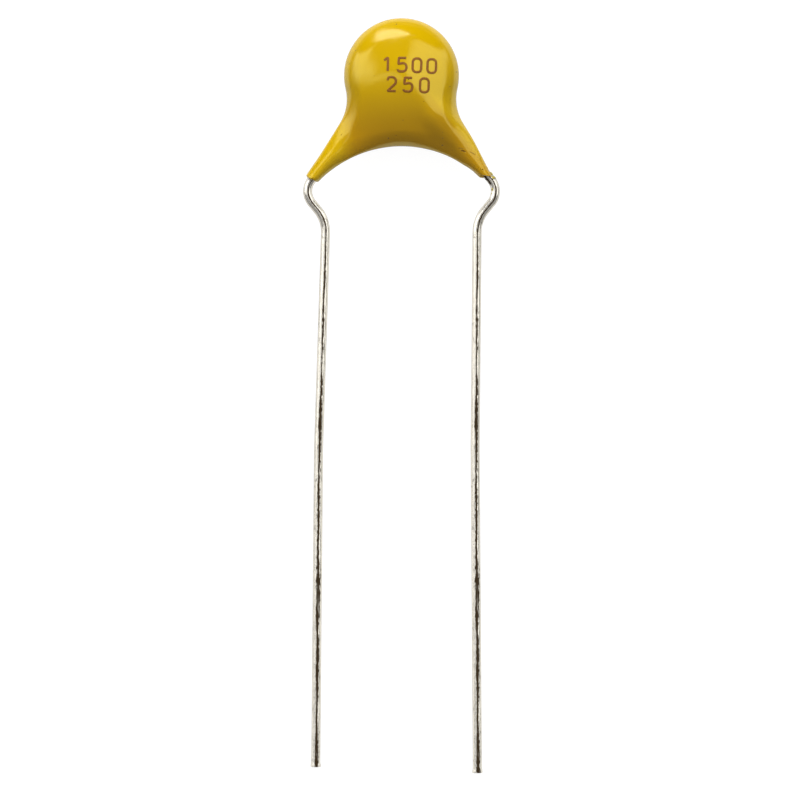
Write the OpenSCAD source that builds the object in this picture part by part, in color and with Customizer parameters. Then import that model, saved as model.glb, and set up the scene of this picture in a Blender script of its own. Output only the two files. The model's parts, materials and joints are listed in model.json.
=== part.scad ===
// Dipped ceramic disc capacitor with two kinked wire leads, lying on its back.
// Millimetres. +Y runs along the leads to the disc, +X across them, +Z is up.

/* [Ceramic disc] */
// Diameter of the bare ceramic
ceramic_d = 6.3; // [5:0.1:8]
// Thickness of the bare ceramic
ceramic_t = 1.2; // [0.8:0.05:2]

/* [Electrodes and solder] */
// Diameter of the fired silver layer on each face
electrode_d = 5.5; // [4.2:0.1:6]
// Thickness of the silver layer
electrode_t = 0.05; // [0.03:0.01:0.1]
// Solder left under the wire
solder_film = 0.04; // [0.02:0.01:0.1]
// Solder left over the wire
solder_over = 0.08; // [0.04:0.01:0.15]
// Half width of a solder pool at its foot
pool_half_w = 0.8; // [0.6:0.05:1]
// Thickness of the pool's outer edge
pool_edge_t = 0.06; // [0.03:0.01:0.1]
// Straight length of a solder pool, without its round ends
pool_len = 2.2; // [1.4:0.1:2.6]
// Wire behind the start of a pool's straight length
pool_inset = 0.25; // [0.1:0.05:0.4]

/* [Leads] */
// Diameter of the tinned wire
wire_d = 0.6; // [0.5:0.05:0.8]
// Spacing of the two straight pins below the kinks
lead_spacing = 10; // [9:0.5:12.5]
// How far each kink stands out past its pin
kink_out = 1.58; // [1:0.02:1.8]
// Height of the kink's slope back to the pin
kink_h = 1.9; // [1.8:0.05:3]
// Bare wire from the end of the coating to the kink's corner
kink_gap = 1.2; // [1:0.05:2]
// Bend radius at the kink
kink_r = 1.2; // [0.8:0.05:1.3]
// Bend radius where the slope meets the pin
foot_r = 2.3; // [1.6:0.1:2.4]
// Wire that runs on past the middle of the disc
wire_past = 1.2; // [0.8:0.1:1.6]
// From the middle of the disc to where each wire has come level with its pin
level_at = 6.4; // [6:0.1:7]
// Length of the right pin
right_pin_len = 36.7; // [20:0.1:40]
// Length of the left pin
left_pin_len = 36.3; // [20:0.1:40]
// Distance down each pin to its slight bow
bow_at = 15.2; // [8:0.1:18]
// Right pin's place at the bow, outwards from straight
right_bow = -0.12; // [-0.6:0.02:0.6]
// Left pin's place at the bow, outwards from straight
left_bow = 0.5; // [-0.6:0.02:0.6]
// Right pin's place at its tip, outwards from straight
right_tip_out = 0.04; // [-1:0.02:1]
// Left pin's place at its tip, outwards from straight
left_tip_out = 0.7; // [-1:0.02:1]

/* [Coating] */
// Coating past the rim of the ceramic
rim_cover = 0.66; // [0.4:0.02:1]
// Coating over the wire at the middle of the disc
wire_cover = 0.26; // [0.2:0.02:0.5]
// Extra height of the dome over the coating on a wire
dome_rise = 0.2; // [0.1:0.01:0.3]
// Fall of the dome from its middle to the disc's edge
dome_fall = 0.92; // [0.7:0.02:1.1]
// Width of the rounding along the coating's outer edge
edge_round = 1.25; // [0.9:0.05:1.6]
// Width of the rounding along the arch
arch_round = 1.1; // [0.8:0.05:1.4]
// Web between the disc and the top of the arch
web_h = 0.86; // [0.5:0.02:1.4]
// Thickness of the web at the disc, which thins out to nothing at the ends of the legs
web_t = 1.2; // [0.8:0.1:1.6]
// Length of a coated leg past the disc, along its wire
leg_len = 5.05; // [4.4:0.1:6]
// Coating over the wire at the end of a leg
tip_cover = 0.14; // [0.1:0.01:0.2]
// Angle that a leg's outer edge opens up from its wire
leg_taper = 9; // [4:0.5:12]
// Radius of the waist between the disc and a leg
waist_r = 3; // [1:0.1:4]

/* [Smoothness] */
// Ribs across half of the coating
ribs = 34; // [20:1:40]
// Steps along each rib
rib_steps = 16; // [10:1:18]

/* [Hidden] */
$fn = 96;
wire_r = wire_d / 2;
coat_r = ceramic_d / 2 + rim_cover;
// Height of each wire's middle over the middle of the ceramic
wire_z = ceramic_t / 2 + electrode_t + solder_film + wire_r;
// Height of the dome over the middle of the ceramic, before it blends with the web and the ridges
dome_h = wire_z + wire_r + wire_cover + dome_rise;

// Each lead runs through the middle of the disc to its kink, at this angle below level
leg_reach = coat_r + leg_len;
kink_s = leg_reach + kink_gap;
pin_x = lead_spacing / 2;
lead_angle = acos((pin_x + kink_out) / kink_s);
lead_dir = [cos(lead_angle), -sin(lead_angle)];
lead_side = [sin(lead_angle), cos(lead_angle)];
kink_y = kink_s * sin(lead_angle);
// Where the wire leaves the face of the disc and heads for the middle plane
dive_inset = 0.2;
dive_s = coat_r - dive_inset;
dive_r = 1.5;
bow_r = 3;
// A bend is this much fatter than the straight wire, and laps this far onto it
bend_swell = 0.003;
bend_lap = 0.03;

// The skin's slope over a wire starts and ends this far outside the wire's own
level_ease = 0.6;
// Each wire's ridge in the skin falls away as the square of the distance over this length,
// beside the wire and past its inner end
ridge_spread = 2.2;
ridge_end_spread = 1.5;
// The ridge of the wire on the other face falls this fast towards the disc
far_spread = 1;
// Softness of the change from the dome to the web, from ridge to ridge, and from both to the ridges
web_blend = 0.5;
ridge_blend = 0.1;
dome_blend = 0.35;
// Two last steps of the coating past its last rib: length along the wire and share of its width
lip_steps = [0.1, 0.16];
lip_shares = [0.95, 0.8];

// Outline of the coating's right half, from the top of the disc to the end of the leg
tip_half_w = wire_r + tip_cover;
tip_outer = leg_reach * lead_dir + tip_half_w * lead_side;
tip_inner = leg_reach * lead_dir - tip_half_w * lead_side;
edge_angle = lead_angle + leg_taper;
edge_normal = [sin(edge_angle), cos(edge_angle)];
edge_offset = tip_outer * edge_normal;
waist_dist = coat_r + waist_r;
waist_turn = acos((edge_offset + waist_r) / waist_dist);
waist_angle = 90 - edge_angle - waist_turn;
waist_mid = waist_dist * [cos(waist_angle), sin(waist_angle)];
edge_start = waist_mid - waist_r * edge_normal;
// The arch under the web is a circle through its top and the ends of both legs
arch_top = -(coat_r + web_h);
arch_drop = arch_top - tip_inner[1];
arch_r = (tip_inner[0] ^ 2 + arch_drop ^ 2) / (2 * arch_drop);
arch_mid = [0, arch_top - arch_r];
arch_end = asin(tip_inner[0] / arch_r);
// Shares of the ribs on the disc's edge and the waist; the rest is on the leg
disc_share = 0.56;
waist_share = 0.18;
// Share of the arch that faces the disc, and the disc with the waist
disc_arch = 0.36;
waist_arch = 0.5;
// How far each rib runs square to an edge before it turns, as a share of its length
rib_pull = 0.4;

// Bending a wire through corner points

function unit(v) = v / norm(v);

// Length of wire that a bend of radius r takes on each side of the corner at p[i]
function bend_trim(p, r, i) =
    i <= 0 || i >= len(p) - 1 ? 0
    : r[i] * tan(acos(min(1, unit(p[i] - p[i - 1]) * unit(p[i + 1] - p[i]))) / 2);

// One straight stretch of wire and the bend after it, then the rest, drawn along +Z.
// frame holds the local X, Y and Z directions in the model's own frame.
module wire_run(p, r, frame, i = 0) {
    along = p[i + 1] - p[i];
    straight = norm(along) - bend_trim(p, r, i) - bend_trim(p, r, i + 1);
    cylinder(r = wire_r, h = straight);
    if (i + 2 < len(p)) {
        next = unit(p[i + 2] - p[i + 1]);
        roll = atan2(next * frame[1], next * frame[0]);
        turn = acos(next * frame[2]);
        x_rolled = cos(roll) * frame[0] + sin(roll) * frame[1];
        y_rolled = cos(roll) * frame[1] - sin(roll) * frame[0];
        x_turned = cos(turn) * x_rolled - sin(turn) * frame[2];
        z_turned = sin(turn) * x_rolled + cos(turn) * frame[2];
        radius = r[i + 1];
        lap = asin(bend_lap / radius);
        translate([0, 0, straight]) rotate([0, 0, roll]) translate([radius, 0, 0]) {
            rotate([90, 0, 0]) rotate([0, 0, 180 - turn - lap])
                rotate_extrude(angle = turn + 2 * lap)
                    translate([radius, 0]) circle(r = wire_r + bend_swell);
            rotate([0, turn, 0]) translate([-radius, 0, 0])
                wire_run(p, r, [x_turned, y_rolled, z_turned], i + 1);
        }
    }
}

module bent_wire(p, r) {
    first = unit(p[1] - p[0]);
    heading = atan2(first[1], first[0]);
    lean = acos(first[2]);
    frame = [
        [cos(lean) * cos(heading), cos(lean) * sin(heading), -sin(lean)],
        [-sin(heading), cos(heading), 0],
        first
    ];
    translate(p[0]) rotate([0, lean, heading]) wire_run(p, r, frame);
}

function lead_corners(pin_len, bow, tip_out) = [
    [-wire_past * lead_dir[0], -wire_past * lead_dir[1], wire_z],
    [dive_s * lead_dir[0], dive_s * lead_dir[1], wire_z],
    [level_at * lead_dir[0], level_at * lead_dir[1], 0],
    [kink_s * lead_dir[0], kink_s * lead_dir[1], 0],
    [pin_x, -kink_y - kink_h, 0],
    [pin_x + bow, -kink_y - kink_h - bow_at, 0],
    [pin_x + tip_out, -kink_y - kink_h - pin_len, 0]
];
lead_bends = [0, dive_r, dive_r, kink_r, foot_r, bow_r, 0];

// The parts of the capacitor, modelled about the middle of the ceramic

module right_lead_wire() {
    bent_wire(lead_corners(right_pin_len, right_bow, right_tip_out), lead_bends);
}

// The left lead is the right one turned over, so it lies on the other face
module left_lead_wire() {
    rotate([0, 180, 0]) bent_wire(lead_corners(left_pin_len, left_bow, left_tip_out), lead_bends);
}

// Half section of a solder pool: hollow fillet up to a round back over the wire
module pool_half_section() {
    back_r = wire_r + solder_over;
    fillet_r = pool_half_w - back_r;
    difference() {
        square([pool_half_w, pool_edge_t + fillet_r]);
        translate([pool_half_w, pool_edge_t + fillet_r]) circle(r = fillet_r);
    }
    intersection() {
        translate([0, solder_film + wire_r]) circle(r = back_r);
        square([back_r, solder_film + wire_r + back_r]);
    }
}

// Solder pool on the front face, along the right lead and without the wire's own space
module front_pool() {
    rotate([0, 0, -lead_angle]) translate([pool_inset - wire_past, 0, ceramic_t / 2 + electrode_t]) {
        rotate([90, 0, 90]) linear_extrude(pool_len) {
            pool_half_section();
            mirror([1, 0]) pool_half_section();
        }
        rotate([0, 0, 90]) rotate_extrude(angle = 180) pool_half_section();
        translate([pool_len, 0, 0]) rotate([0, 0, -90]) rotate_extrude(angle = 180) pool_half_section();
    }
}

module electrode_layer() {
    translate([0, 0, ceramic_t / 2]) cylinder(d = electrode_d, h = electrode_t);
}

module ceramic_body() {
    translate([0, 0, -ceramic_t / 2]) cylinder(d = ceramic_d, h = ceramic_t);
}

// Skin of the coating

// Larger of two heights with a soft change from one to the other
function soft_max(a, b, soft) = (a + b + sqrt((a - b) ^ 2 + soft ^ 2)) / 2;

// Height of a wire's middle, s along the wire from the middle of the disc, as the skin follows it
function wire_level(s) =
    let (k = min(1, max(0, s - dive_s + level_ease) / (level_at - dive_s + 2 * level_ease)))
    wire_z * (1 - k ^ 2 * (3 - 2 * k));

// Thickness of coating over the wire at s
function cover_at(s) = tip_cover + (wire_cover - tip_cover) * max(0, 1 - max(0, s) / leg_reach);

// Height of the coated wire's ridge over a point, for a wire on this side (1) or the other (-1)
function ridge(s, t, side) =
    side * wire_level(s) + wire_r + cover_at(s) - t ^ 2 / ridge_spread
    - max(0, -s - wire_past / 2) ^ 2 / ridge_end_spread
    - (side > 0 ? 0 : max(0, leg_reach / 2 - s) ^ 2 / far_spread);

// Height of the skin before its edge is rounded: the dome, the web and the ridges of both wires
function skin_height(x, y, side) =
    let (
        reach = norm([x, y]),
        dome = dome_h - dome_fall * (reach / coat_r) ^ 2,
        web = web_t / 2 * (leg_reach - reach) / leg_len,
        s_right = x * lead_dir[0] + y * lead_dir[1],
        t_right = x * lead_side[0] + y * lead_side[1],
        s_left = -x * lead_dir[0] + y * lead_dir[1],
        t_left = -x * lead_side[0] + y * lead_side[1]
    )
    let (ridges = soft_max(ridge(s_right, t_right, side), ridge(s_left, t_left, -side), ridge_blend))
    soft_max(soft_max(dome, web, web_blend), ridges, dome_blend);

// Point and inward direction on the right half's outer edge, at share u of the way down
function outer_edge(u) =
    u < disc_share ?
        let (a = 90 + (waist_angle - 90) * u / disc_share)
        [coat_r * [cos(a), sin(a)], -[cos(a), sin(a)]]
    : u < disc_share + waist_share ?
        let (
            k = (u - disc_share) / waist_share,
            a = waist_angle + 180 + waist_turn * k,
            n = [cos(a), sin(a)]
        )
        [waist_mid + waist_r * n, n]
    :
        let (k = (u - disc_share - waist_share) / (1 - disc_share - waist_share))
        [edge_start + k * (tip_outer - edge_start), unit(k * -lead_side - (1 - k) * edge_normal)];

// Share of the arch opposite share u of the outer edge
function arch_share(u) =
    u < disc_share ? disc_arch * u / disc_share
    : u < disc_share + waist_share ? disc_arch + (waist_arch - disc_arch) * (u - disc_share) / waist_share
    : waist_arch + (1 - waist_arch) * (u - disc_share - waist_share) / (1 - disc_share - waist_share);

function inner_edge(u) =
    let (a = 90 - arch_end * arch_share(u), n = [cos(a), sin(a)])
    [arch_mid + arch_r * n, n];

// A rib crosses the coating as a smooth curve, square to both of its edges
function rib_point(outer, inner, v) =
    let (reach = rib_pull * norm(outer[0] - inner[0]))
    (1 - v) ^ 3 * outer[0] + 3 * (1 - v) ^ 2 * v * (outer[0] + reach * outer[1])
    + 3 * (1 - v) * v ^ 2 * (inner[0] + reach * inner[1]) + v ^ 3 * inner[0];

// Roundness of the edge: 0 at the outline, 1 from the rounding's width inwards
function edge_rise(p, outer, inner) =
    let (
        half = norm(outer[0] - inner[0]) / 2,
        from_outer = norm(p - outer[0]) / min(edge_round, half),
        from_arch = norm(p - inner[0]) / min(arch_round, half),
        depth = min(from_outer, from_arch)
    )
    depth >= 1 ? 1 : sqrt(1 - (1 - depth) ^ 2);

function skin_point(p, rise, side) =
    let (
        front = skin_height(p[0], p[1], 1),
        back = skin_height(p[0], p[1], -1)
    )
    [p[0], p[1], (front - back) / 2 + side * rise * (front + back) / 2];

// Closed loop of points round one rib: over the front, then back along the other face
function rib_loop(u) =
    let (outer = outer_edge(abs(u)), inner = inner_edge(abs(u)), flip = u < 0 ? -1 : 1)
    [for (j = [0 : 2 * rib_steps - 1])
        let (
            front = j <= rib_steps,
            k = front ? j / rib_steps : 2 - j / rib_steps,
            p = rib_point(outer, inner, (1 - cos(180 * k)) / 2)
        )
        skin_point([flip * p[0], p[1]], edge_rise(p, outer, inner), front ? 1 : -1)];

// The coating draws in to the wire past the last rib
function drawn_in(loop, side, out, share) =
    let (
        along = [side * lead_dir[0], lead_dir[1], 0],
        mid = leg_reach * along
    )
    [for (p = loop) mid + share * (p - mid) + out * along];

skin_loops =
    let (
        loops = [for (i = [-ribs : ribs]) rib_loop(i / ribs)],
        first = loops[0],
        last = loops[2 * ribs]
    )
    concat(
        [for (i = [1, 0]) drawn_in(first, -1, lip_steps[i], lip_shares[i])],
        loops,
        [for (i = [0, 1]) drawn_in(last, 1, lip_steps[i], lip_shares[i])]
    );

module loft(loops) {
    n = len(loops[0]);
    rows = len(loops);
    sides = [for (i = [0 : rows - 2], j = [0 : n - 1])
        each [
            [i * n + j, i * n + (j + 1) % n, (i + 1) * n + (j + 1) % n],
            [i * n + j, (i + 1) * n + (j + 1) % n, (i + 1) * n + j]
        ]];
    start_cap = [for (j = [n - 1 : -1 : 0]) j];
    end_cap = [for (j = [0 : n - 1]) (rows - 1) * n + j];
    polyhedron([for (loop = loops) each loop], concat(sides, [start_cap, end_cap]));
}

// The capacitor lies on its back, tipped until its pins reach the surface too

pin_tip_y = -kink_y - kink_h - right_pin_len;
rest_tilt = max([for (loop = skin_loops, p = loop) atan2(-wire_r - p[2], p[1] - pin_tip_y)]);
top_y = coat_r * cos(rest_tilt);
end_y = pin_tip_y * cos(rest_tilt) - wire_r * sin(rest_tilt);
rest_y = -(top_y + end_y) / 2;
rest_z = wire_r * cos(rest_tilt) - pin_tip_y * sin(rest_tilt);

module at_rest() {
    translate([0, rest_y, rest_z]) rotate([rest_tilt, 0, 0]) children();
}

module ceramic_disc() {
    color("tan") at_rest() ceramic_body();
}

module front_electrode() {
    color("lightgray") at_rest() electrode_layer();
}

module back_electrode() {
    color("lightgray") at_rest() rotate([0, 180, 0]) electrode_layer();
}

module front_solder() {
    color("silver") at_rest() difference() {
        front_pool();
        right_lead_wire();
    }
}

module back_solder() {
    color("silver") at_rest() difference() {
        rotate([0, 180, 0]) front_pool();
        left_lead_wire();
    }
}

module right_lead() {
    color("gainsboro") at_rest() right_lead_wire();
}

module left_lead() {
    color("gainsboro") at_rest() left_lead_wire();
}

module epoxy_coating() {
    color("goldenrod") at_rest() difference() {
        loft(skin_loops);
        ceramic_body();
        electrode_layer();
        rotate([0, 180, 0]) electrode_layer();
        front_pool();
        rotate([0, 180, 0]) front_pool();
        right_lead_wire();
        left_lead_wire();
    }
}

ceramic_disc();
front_electrode();
back_electrode();
front_solder();
back_solder();
right_lead();
left_lead();
epoxy_coating();
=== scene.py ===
import json
import math

import bpy
from mathutils import Matrix, Vector, noise


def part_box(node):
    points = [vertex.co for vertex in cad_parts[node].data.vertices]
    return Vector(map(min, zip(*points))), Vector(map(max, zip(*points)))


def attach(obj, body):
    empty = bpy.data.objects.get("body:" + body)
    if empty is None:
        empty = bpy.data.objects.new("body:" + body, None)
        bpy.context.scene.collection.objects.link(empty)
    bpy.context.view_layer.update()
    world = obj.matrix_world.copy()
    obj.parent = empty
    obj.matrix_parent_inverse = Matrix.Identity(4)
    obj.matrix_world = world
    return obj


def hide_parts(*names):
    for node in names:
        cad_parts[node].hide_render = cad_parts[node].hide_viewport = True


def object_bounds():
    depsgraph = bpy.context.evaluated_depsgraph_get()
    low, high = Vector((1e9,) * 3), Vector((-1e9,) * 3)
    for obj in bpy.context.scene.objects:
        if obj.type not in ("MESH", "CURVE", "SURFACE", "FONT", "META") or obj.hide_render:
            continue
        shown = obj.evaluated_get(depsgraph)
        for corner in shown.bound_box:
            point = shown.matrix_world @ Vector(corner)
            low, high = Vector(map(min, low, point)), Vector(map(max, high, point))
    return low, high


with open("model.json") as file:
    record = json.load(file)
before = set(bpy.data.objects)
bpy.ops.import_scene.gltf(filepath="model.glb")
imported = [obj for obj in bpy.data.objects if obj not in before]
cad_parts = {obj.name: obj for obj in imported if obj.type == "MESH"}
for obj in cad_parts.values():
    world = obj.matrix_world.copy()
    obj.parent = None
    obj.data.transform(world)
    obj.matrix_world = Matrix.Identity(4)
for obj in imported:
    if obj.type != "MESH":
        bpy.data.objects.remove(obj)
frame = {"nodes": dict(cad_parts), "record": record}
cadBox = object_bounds()
mm = 0.001
print("frame loaded:", ", ".join(sorted(frame["nodes"])))


# Sizes and places in millimetres, in the capacitor's own frame: the middle of the ceramic is
# the origin, Y runs up the disc, and Z comes out of the marked face. At rest it lies tipped
# about X, until its pins reach the surface too.

build = {
    "coatRadius": 3.81,
    "wireRadius": 0.3,
    "wireHeight": 0.99,  # of each wire's middle over the middle of the ceramic
    "wirePast": 1.2,
    "diveReach": 3.61,  # where a wire leaves the face of the disc
    "levelReach": 6.4,  # where it has come level with its pin
    "legReach": 8.86,  # where the coating ends, along the wire
    "kinkReach": 10.06,
    "kinkX": 6.58,
    "pinX": 5.0,
    "kinkDrop": 1.9,
    "bowDrop": 15.2,
}
leadAngle = math.acos(build["kinkX"] / build["kinkReach"])
leadDir = Vector((math.cos(leadAngle), -math.sin(leadAngle)))
leadSide = Vector((math.sin(leadAngle), math.cos(leadAngle)))


def findRestPlace():
    low, high = (Vector(corner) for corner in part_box("ceramic_disc"))
    pin = next(mount for mount in frame["record"]["mounts"] if mount["name"] == "right_pin")
    tilt = math.atan2(-pin["axis"][2], -pin["axis"][1])
    return Matrix.Translation((low + high) / 2) @ Matrix.Rotation(tilt, 4, "X")


restPlace = findRestPlace()


def atRest(point):
    return restPlace @ (Vector(point) * mm)


# Building node trees

def plug(tree, socket, value):
    if isinstance(value, bpy.types.NodeSocket):
        tree.links.new(value, socket)
    else:
        socket.default_value = value


def addNode(tree, kind, inputs=None, **settings):
    node = tree.nodes.new(kind)
    for name, value in settings.items():
        setattr(node, name, value)
    for key, value in (inputs or {}).items():
        plug(tree, node.inputs[key], value)
    return node


def calc(tree, operation, *values):
    inputs = {index: value for index, value in enumerate(values)}
    return addNode(tree, "ShaderNodeMath", inputs, operation=operation).outputs[0]


def vectorCalc(tree, operation, *values):
    inputs = {index: value for index, value in enumerate(values)}
    node = addNode(tree, "ShaderNodeVectorMath", inputs, operation=operation)
    return node.outputs["Value" if operation in ("LENGTH", "DOT_PRODUCT", "DISTANCE") else "Vector"]


def ramp(tree, value, start, end, low=0.0, high=1.0):  # soft change from low to high
    inputs = {"Value": value, "From Min": start, "From Max": end, "To Min": low, "To Max": high}
    return addNode(tree, "ShaderNodeMapRange", inputs, interpolation_type="SMOOTHSTEP").outputs[0]


def mixColour(tree, share, first, second):
    node = addNode(tree, "ShaderNodeMix", data_type="RGBA")
    plug(tree, node.inputs["Factor"], share)
    for index, value in ((6, first), (7, second)):
        plug(tree, node.inputs[index], value)
    return node.outputs[2]


def xyz(tree, vector):
    return addNode(tree, "ShaderNodeSeparateXYZ", {0: vector}).outputs


def newTree(name, kind, inputs, outputs):  # each socket's name, with its kind
    tree = bpy.data.node_groups.new(name, kind)
    for direction, sockets in (("INPUT", inputs), ("OUTPUT", outputs)):
        for socketName, socketKind in sockets.items():
            tree.interface.new_socket(socketName, in_out=direction, socket_type="NodeSocket" + socketKind)
    return tree, tree.nodes.new("NodeGroupInput").outputs, tree.nodes.new("NodeGroupOutput").inputs


# Shared surface effects

effects = {
    "smallestSpeck": 0.4,  # share of the size asked for; a random share up to 1 comes on top
    "speckEdge": (0.6, 1.0),
    "cloud": {"Detail": 5.0, "Roughness": 0.65, "Distortion": 0.4},
    "cloudStart": 0.78,  # noise level over which a patch shows, lowered by the amount times the gain
    "cloudGain": 0.6,
    "cloudEdge": 0.12,
    "shake": {"Scale": 9000.0, "Detail": 3.0},
    "shakeReach": 0.00004,
    "scuffEdge": (0.55, 1.1),
}


def makeSpecks():  # sparse round specks: few cells hold one, and each has its own size
    tree, given, result = newTree(
        "sparse specks", "ShaderNodeTree",
        {"Vector": "Vector", "Scale": "Float", "Size": "Float", "Share": "Float"}, {"Mask": "Float"})
    cells = addNode(tree, "ShaderNodeTexVoronoi", {"Vector": given["Vector"], "Scale": given["Scale"]})
    pick = xyz(tree, cells.outputs["Color"])
    edge = calc(tree, "MULTIPLY", given["Size"], calc(tree, "ADD", effects["smallestSpeck"], pick[1]))
    reach = calc(tree, "DIVIDE", cells.outputs["Distance"], edge)
    inside = ramp(tree, reach, *effects["speckEdge"], 1, 0)
    chosen = calc(tree, "LESS_THAN", pick[0], given["Share"])
    plug(tree, result["Mask"], calc(tree, "MULTIPLY", inside, chosen))
    return tree


def makeGrime():  # broken patches with soft ragged borders
    tree, given, result = newTree(
        "ragged patches", "ShaderNodeTree",
        {"Vector": "Vector", "Scale": "Float", "Amount": "Float"}, {"Mask": "Float"})
    cloud = addNode(tree, "ShaderNodeTexNoise", {
        "Vector": given["Vector"], "Scale": given["Scale"], **effects["cloud"]})
    gain = calc(tree, "MULTIPLY", given["Amount"], effects["cloudGain"])
    start = calc(tree, "SUBTRACT", effects["cloudStart"], gain)
    rise = calc(tree, "SUBTRACT", cloud.outputs["Fac"], start)
    plug(tree, result["Mask"], ramp(tree, rise, 0.0, effects["cloudEdge"]))
    return tree


def makeStreak():  # one scuff at a place, with a shaken border
    tree, given, result = newTree(
        "short scuff", "ShaderNodeTree",
        {"Vector": "Vector", "Place": "Vector", "Turn": "Float", "Length": "Float", "Width": "Float"},
        {"Mask": "Float"})
    wander = addNode(tree, "ShaderNodeTexNoise", {"Vector": given["Vector"], **effects["shake"]})
    reach = effects["shakeReach"]
    shaken = vectorCalc(tree, "MULTIPLY_ADD", wander.outputs["Color"], (2 * reach,) * 3, (-reach,) * 3)
    local = vectorCalc(tree, "SUBTRACT", given["Vector"], given["Place"])
    turned = addNode(tree, "ShaderNodeVectorRotate", {
        "Vector": vectorCalc(tree, "ADD", local, shaken), "Angle": given["Turn"]}, rotation_type="Z_AXIS")
    part = xyz(tree, turned.outputs[0])
    down = calc(tree, "POWER", calc(tree, "DIVIDE", part[0], given["Length"]), 2.0)
    across = calc(tree, "POWER", calc(tree, "DIVIDE", part[1], given["Width"]), 2.0)
    plug(tree, result["Mask"], ramp(tree, calc(tree, "ADD", down, across), *effects["scuffEdge"], 1, 0))
    return tree


specks = makeSpecks()
raggedPatches = makeGrime()
shortScuff = makeStreak()
print("surface effects built")


def useGroup(tree, group, inputs):
    node = tree.nodes.new("ShaderNodeGroup")
    node.node_tree = group
    for name, value in inputs.items():
        plug(tree, node.inputs[name], value)
    return node.outputs[0]


def noiseAt(tree, vector, scale, detail=3.0, roughness=0.5):
    return addNode(tree, "ShaderNodeTexNoise", {
        "Vector": vector, "Scale": scale, "Detail": detail, "Roughness": roughness}).outputs["Fac"]


noiseSpan = (0.3, 0.7)  # most values of a noise lie between these two


def newMaterial(name):
    material = bpy.data.materials.new(name)
    material.use_nodes = True
    tree = material.node_tree
    place = tree.nodes.new("ShaderNodeTexCoord").outputs["Object"]
    return material, tree, tree.nodes["Principled BSDF"].inputs, place


def bump(tree, height, depth, strength):
    return addNode(tree, "ShaderNodeBump", {
        "Height": height, "Distance": depth, "Strength": strength}).outputs["Normal"]


# Epoxy: glossy mustard dip coat with pits, faint clouds, three scuffs on the right leg, and painted shade
# that deepens it towards the web.
# Lengths in the materials are in metres, apart from the scuffs' millimetres.

epoxy = {
    "colour": (0.67, 0.4, 0.001, 1),
    # the darker tone is painted shade, for faces turned away from the light
    "shadedColour": (0.53, 0.26, 0.001, 1),
    # where painted shade turns the coat deeper: down the disc to the web, in from the left leg,
    # and across the right leg from its outer edge
    "shadeDown": (0.0215, 0.0165),
    "shadeInwards": (0.0044, 0.0028),
    "shadeAcross": (0.0007, 0.0001),
    "mottle": 0.3,
    "mottleNoise": (420.0, 4.0),  # scale and detail, as in the other noises
    "pitColour": (0.17, 0.06, 0.0, 1),
    "pits": {"Scale": 2230.0, "Size": 0.11, "Share": 0.31},
    "scuffs": [  # x, y, degrees, half length, half width and how dark
        (4.08, -5.0, 15, 0.2, 0.06, 0.9),
        (4.7, -5.15, 26, 0.24, 0.045, 0.6),
        (3.92, -4.83, 5, 0.24, 0.035, 0.45),
    ],
    "glossTint": (1.0, 1.0, 0.36, 1),
    "glossLevel": 0.73,
    "ior": 1.7,
    "roughness": (0.112, 0.175),  # from the smoothest to the roughest spots
    "grainNoise": (5200.0, 4.0),
    "grainHeight": 0.05,  # a share of the depth, as is the waves' height
    "waveHeight": 0.8,
    "waveNoise": (900.0, 2.0),
    "bumpDepth": 0.00003,
    "bumpStrength": 0.7,
}


def markCoat(tree, place):  # pits all over, and the scuffs at their places
    marks = useGroup(tree, specks, {"Vector": place, **epoxy["pits"]})
    flat = vectorCalc(tree, "MULTIPLY", place, (1.0, 1.0, 0.0))
    for x, y, turn, halfLength, halfWidth, dark in epoxy["scuffs"]:
        centre = atRest((x, y, 0))
        scuff = useGroup(tree, shortScuff, {
            "Vector": flat, "Place": (centre.x, centre.y, 0), "Turn": math.radians(turn),
            "Length": halfLength * mm, "Width": halfWidth * mm})
        marks = calc(tree, "MAXIMUM", marks, calc(tree, "MULTIPLY", scuff, dark))
    return marks


# painted shade: this share keeps the lit colour, and the rest turns to the painted shade tone
def unshadedShare(tree, place):  # 1 where the coat has its clear colour, 0 where it is deep
    part = xyz(tree, place)
    top, foot = epoxy["shadeDown"]
    side, inside = epoxy["shadeInwards"]
    rim, wireLine = epoxy["shadeAcross"]
    fromMiddle = vectorCalc(tree, "SUBTRACT", place, tuple(atRest((0, 0, 0))))
    across = vectorCalc(tree, "DOT_PRODUCT", fromMiddle, (leadSide.x, leadSide.y, 0))
    clear = calc(tree, "MAXIMUM", ramp(tree, part[1], foot, top), ramp(tree, across, wireLine, rim))
    leftwards = calc(tree, "MULTIPLY", part[0], -1.0)
    return calc(tree, "MAXIMUM", clear, ramp(tree, leftwards, inside, side))


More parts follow.
